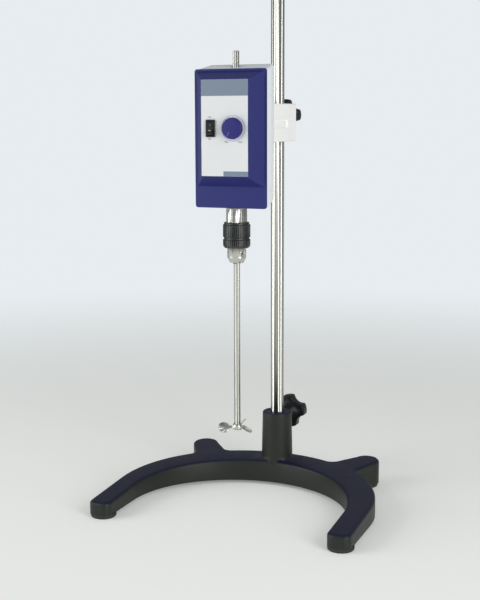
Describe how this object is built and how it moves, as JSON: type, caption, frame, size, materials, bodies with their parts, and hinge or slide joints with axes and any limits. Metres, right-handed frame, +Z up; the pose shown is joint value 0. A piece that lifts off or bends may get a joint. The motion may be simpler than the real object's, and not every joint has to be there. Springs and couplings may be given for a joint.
{
  "type": "overhead stirrer",
  "caption": "Bench overhead stirrer: gear motor head with speed knob, key chuck and propeller rod, clamped to a steel pole on a horseshoe foot.",
  "frame": {"origin": "on the bench in the middle of the whole object's footprint", "axes": "+Z up along the pole, -Y towards the user (the control panel faces -Y), +X to the user's right"},
  "size_m": [0.3122, 0.2624, 0.712],
  "materials": {
    "black_enamel": "textured",
    "stainless": "brushed",
    "black_rubber": "matte",
    "zinc_steel": "satin",
    "black_knob": "satin",
    "brass": "satin",
    "white_paint": "satin",
    "bush_plastic": "matte",
    "white_casing": "satin",
    "blue_casing": "satin",
    "panel_grey": "matte",
    "knob_violet": "satin",
    "switch_black": "gloss",
    "board_green": "satin",
    "frame_aluminium": "milled",
    "bearing_steel": "polished",
    "gear_nylon": "matte",
    "motor_can": "satin",
    "chuck_steel": "polished"
  },
  "bodies": {
    "stand": {"base_casting": "black_enamel", "support_pole": "stainless", "rubber_foot_front_left": "black_rubber", "rubber_foot_front_right": "black_rubber", "rubber_foot_rear_left": "black_rubber", "rubber_foot_rear_right": "black_rubber", "foot_screws": "zinc_steel"},
    "carriage": {"lower_clamp_bush": "bush_plastic", "upper_clamp_bush": "bush_plastic"},
    "head": {"clamp_arm": "white_paint", "clamp_block": "white_paint", "clamp_screws": "zinc_steel", "arm_screws": "zinc_steel", "rear_shell": "white_casing", "front_cover": "blue_casing", "shell_screws": "zinc_steel", "control_panel": "panel_grey", "speed_potentiometer": "zinc_steel", "potentiometer_nut": "zinc_steel", "switch_housing": "switch_black", "control_board": "board_green", "board_screws": "zinc_steel", "bearing_frame": "frame_aluminium", "lower_bearing_plate": "frame_aluminium", "frame_pillars": "zinc_steel", "lower_bearing": "bearing_steel", "upper_bearing": "bearing_steel", "motor_body": "motor_can", "motor_screws": "zinc_steel", "cable_gland": "black_knob", "gland_nut": "black_knob"},
    "base_pad": {"base_thrust_pad": "brass"},
    "base_lock": {"base_lock_stud": "zinc_steel", "base_lock_knob": "black_knob"},
    "clamp_pad": {"clamp_thrust_pad": "brass"},
    "clamp_lock": {"clamp_lock_stud": "zinc_steel", "clamp_lock_knob": "black_knob"},
    "spindle": {"hollow_spindle": "zinc_steel", "drive_gear": "gear_nylon", "chuck_body": "chuck_steel"},
    "motor_rotor": {"motor_shaft": "zinc_steel", "motor_pinion": "brass"},
    "chuck_collar": {"chuck_sleeve": "chuck_steel", "chuck_nut": "zinc_steel"},
    "jaw_1": {"chuck_jaw_1": "zinc_steel"},
    "jaw_2": {"chuck_jaw_2": "zinc_steel"},
    "jaw_3": {"chuck_jaw_3": "zinc_steel"},
    "stirrer": {"stirring_rod": "stainless", "propeller": "stainless"},
    "speed_control": {"potentiometer_shaft": "zinc_steel", "speed_knob": "knob_violet"},
    "power_switch": {"power_rocker": "switch_black"}
  },
  "joints": [
    {"name": "head_height", "type": "slide", "parent": "stand", "child": "carriage", "axis": [0, 0, 1], "range_m": [-0.03, 0.23]},
    {"name": "head_swivel", "type": "hinge", "parent": "carriage", "child": "head", "pos_m": [0, 0.07415, 0.4534], "axis": [0, 0, 1], "range_deg": [-180, 180]},
    {"name": "base_pad_press", "type": "slide", "parent": "stand", "child": "base_pad", "axis": [0, 1, 0], "range_m": [0, 0.00125]},
    {"name": "base_lock_turn", "type": "hinge", "parent": "base_pad", "child": "base_lock", "pos_m": [0, 0.10415, 0.0796], "axis": [0, 1, 0], "range_deg": [0, 360]},
    {"name": "clamp_pad_press", "type": "slide", "parent": "head", "child": "clamp_pad", "axis": [0, 1, 0], "range_m": [0, 0.00125]},
    {"name": "clamp_lock_turn", "type": "hinge", "parent": "clamp_pad", "child": "clamp_lock", "pos_m": [0, 0.09415, 0.4534], "axis": [0, 1, 0], "range_deg": [0, 360]},
    {"name": "spindle_spin", "type": "hinge", "parent": "head", "child": "spindle", "pos_m": [0, -0.05685, 0.39], "axis": [0, 0, 1], "continuous": true},
    {"name": "motor_spin", "type": "hinge", "parent": "head", "child": "motor_rotor", "pos_m": [0, -0.02285, 0.392], "axis": [0, 0, 1], "continuous": true},
    {"name": "chuck_collar_turn", "type": "hinge", "parent": "spindle", "child": "chuck_collar", "pos_m": [0, -0.05685, 0.322], "axis": [0, 0, -1], "range_deg": [0, 864]},
    {"name": "jaw_1_travel", "type": "slide", "parent": "spindle", "child": "jaw_1", "axis": [0, -0.1736, 0.9848], "range_m": [0, 0.003]},
    {"name": "jaw_2_travel", "type": "slide", "parent": "spindle", "child": "jaw_2", "axis": [0.1504, 0.0868, 0.9848], "range_m": [0, 0.003]},
    {"name": "jaw_3_travel", "type": "slide", "parent": "spindle", "child": "jaw_3", "axis": [-0.1504, 0.0868, 0.9848], "range_m": [0, 0.003]},
    {"name": "rod_height", "type": "slide", "parent": "spindle", "child": "stirrer", "axis": [0, 0, 1], "range_m": [-0.03, 0.15]},
    {"name": "speed_knob_turn", "type": "hinge", "parent": "head", "child": "speed_control", "pos_m": [0.01, -0.09045, 0.439], "axis": [0, 1, 0], "range_deg": [0, 300]},
    {"name": "power_rocker_tilt", "type": "hinge", "parent": "head", "child": "power_switch", "pos_m": [-0.0158, -0.09045, 0.439], "axis": [1, 0, 0], "range_deg": [0, 24]}
  ],
  "couplings": [
    {"joint": "base_pad_press", "follows": "base_lock_turn", "m_per_rad": 0.00019894},
    {"joint": "clamp_pad_press", "follows": "clamp_lock_turn", "m_per_rad": 0.00019894},
    {"joint": "motor_spin", "follows": "spindle_spin", "ratio": -3.25},
    {"joint": "jaw_1_travel", "follows": "chuck_collar_turn", "m_per_rad": 0.00019894},
    {"joint": "jaw_2_travel", "follows": "chuck_collar_turn", "m_per_rad": 0.00019894},
    {"joint": "jaw_3_travel", "follows": "chuck_collar_turn", "m_per_rad": 0.00019894}
  ]
}
